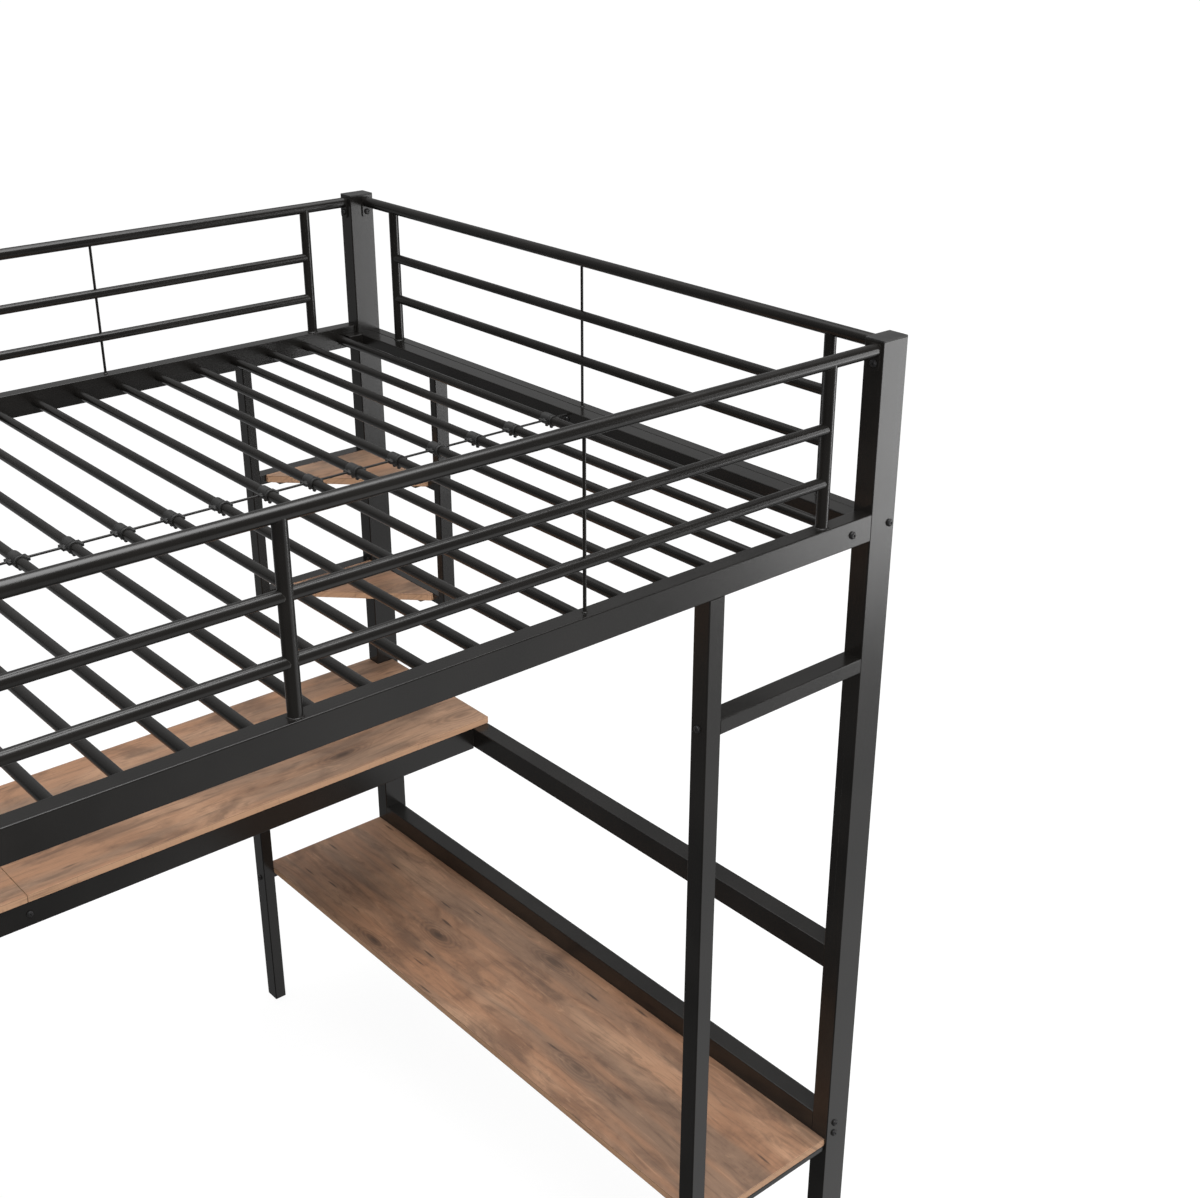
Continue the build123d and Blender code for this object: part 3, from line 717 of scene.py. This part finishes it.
def bead_ring(name, radius):
    """A rippled half ring round a tube of that radius, lying on Z = 0."""
    ring = begin(name, bpy.ops.mesh.primitive_torus_add, major_radius=radius, minor_radius=BEAD,
                 major_segments=DROPS, minor_segments=8)
    bpy.ops.object.mode_set(mode="EDIT")
    bpy.ops.mesh.select_all(action="SELECT")
    bpy.ops.mesh.bisect(plane_co=(0, 0, 0), plane_no=(0, 0, 1), clear_inner=True)

    def second_drop(face):
        middle = face.calc_center_median()
        turn = math.atan2(middle.y, middle.x) / (2 * math.pi) * DROPS
        return int(math.floor(turn)) % 2 == 0

    pick(ring, "FACE", second_drop)
    bpy.ops.transform.shrink_fatten(value=RIPPLE)
    bpy.ops.mesh.select_all(action="SELECT")
    bpy.ops.mesh.normals_make_consistent(inside=False)
    bpy.ops.object.mode_set(mode="OBJECT")
    bpy.ops.object.shade_smooth()
    return ring


def feet_of(node):
    """The middle and radius of each upright's foot, found from a node's lowest points."""
    points = [vertex.co.copy() for vertex in nodes[node].data.vertices]
    floor_z = min(point.z for point in points)
    low_points = [point for point in points if point.z < floor_z + 1e-4]
    groups = []
    for point in low_points:
        for group in groups:
            if (group[0] - point).length < FOOT_REACH:
                group.append(point)
                break
        else:
            groups.append([point])
    feet = []
    for group in groups:
        xs, ys = [p.x for p in group], [p.y for p in group]
        middle = Vector(((min(xs) + max(xs)) / 2, (min(ys) + max(ys)) / 2, floor_z))
        feet.append((middle, (max(xs) - min(xs)) / 2))
    return feet


feet = [foot for side in ("front", "back", "right", "left")
        for foot in feet_of(f"guard_{side}_uprights")]
thick_feet = [(middle, radius) for middle, radius in feet if radius > THICK_FOOT]
thin_feet = [(middle, radius) for middle, radius in feet if radius <= THICK_FOOT]
for stem, kept in (("upright_weld", thick_feet), ("rod_weld", thin_feet)):
    bead = bead_ring(stem, kept[0][1])
    moves = [Matrix.Translation(middle) for middle, _ in kept]
    spread(bead, stem, moves, coat)

# %% [markdown]
# ## The studio
#
# Satin black shows little of its own colour. What we see is the room mirrored in it, so the
# room is built from a few glowing parts. The world holds the soft ones: a bright ceiling, a
# pale apron low in front and to the right, a dim rear wall, and a little light all round. The
# camera itself sees plain white.
#
# The lamps add the sharp parts. A panel at the front right ends at a clear lower edge, which
# turns the posts' front faces gray at the top and leaves them darker below. An overhead box
# lights the wood. A fill from the front left reaches under the desk and on to the low shelf, and
# is hidden from reflections so that the black tubes don't mirror it.

# %% Light the room
APRON, CEILING, REAR, ALL_ROUND = 0.85, 3.6, 0.34, 0.075


def glow_room(paint):
    """The world's brightness in each direction."""
    direction = paint.node("ShaderNodeTexCoord", output="Generated")
    x, y, z = paint.parts(direction)
    front = (0.0 - y).ramp(0.05, 0.40)
    apron = x.ramp(0.18, 0.48) * front * z.ramp(-0.22, -0.44)
    ceiling = z.ramp(0.68, 0.95)
    rear = (y * 0.9 + x * 0.3).ramp(0.2, 0.9)
    return apron * APRON + ceiling * CEILING + rear * REAR + ALL_ROUND


world = bpy.data.worlds.new("studio")
world.use_nodes = True
bpy.context.scene.world = world
room = Paint(world.node_tree)
lit = room.node("ShaderNodeBackground", None, {"Strength": glow_room(room)})
white = room.node("ShaderNodeBackground", None, {"Strength": 1.0, "Color": (1, 1, 1, 1)})
seen = room.node("ShaderNodeLightPath", output="Is Camera Ray")
either = room.node("ShaderNodeMixShader", None, {0: seen, 1: lit, 2: white})
world_output = world.node_tree.nodes.new("ShaderNodeOutputWorld")
world.node_tree.links.new(either.socket, world_output.inputs["Surface"])


def softbox(name, at, aim, size, glow):
    """A square area light that points from one place to another. Glow is its brightness."""
    data = bpy.data.lights.new(name, "AREA")
    data.shape, data.size, data.energy = "SQUARE", size, glow * math.pi * size ** 2
    lamp = bpy.data.objects.new(name, data)
    lamp.location = at
    lamp.rotation_euler = (Vector(aim) - Vector(at)).to_track_quat("-Z", "Y").to_euler()
    bpy.context.scene.collection.objects.link(lamp)
    print(name, "stands", round((Vector(aim) - Vector(at)).length, 2), "m from what it faces")
    return lamp


BED_MIDDLE = (0, 0, 0.9)
softbox("overhead", (0.6, -0.8, 5.2), BED_MIDDLE, 3.0, 3.2)
softbox("side panel", (4.80, -3.0, 1.40), (4.80, 0.0, 1.40), 3.1, 4.3)
fill = softbox("fill", (-2.5, -5.0, 3.0), BED_MIDDLE, 3.5, 11.0)
fill.visible_glossy = False
bpy.context.scene.view_settings.view_transform = "Standard"

# %% [markdown]
# The floor is a large pale sheet that glows, so only a trace of the feet's shadows shows on it.
# It sends no light back into the black tubes, so the room above alone decides how they look.

# %% Lay the floor
FLOOR_SIZE = 60
FLOOR_GLOW = 0.90
bpy.ops.object.select_all(action="DESELECT")
bpy.ops.mesh.primitive_plane_add(size=FLOOR_SIZE, location=(0, 0, low.z))
floor = bpy.context.object
floor.name = "floor"


def pale_floor(paint):
    cloud = paint.noise(paint.place(), 0.8, detail=2)
    return {
        "Base Color": (0.12, 0.12, 0.12, 1),
        "Roughness": cloud * 0.1 + 0.8,
        "Specular IOR Level": 0.0,
        "Emission Color": (1, 1, 1, 1),
        "Emission Strength": FLOOR_GLOW,
    }


dress(floor, finish("pale floor", pale_floor))
floor.visible_diffuse = floor.visible_glossy = False
print("floor lies at", round(low.z, 4))
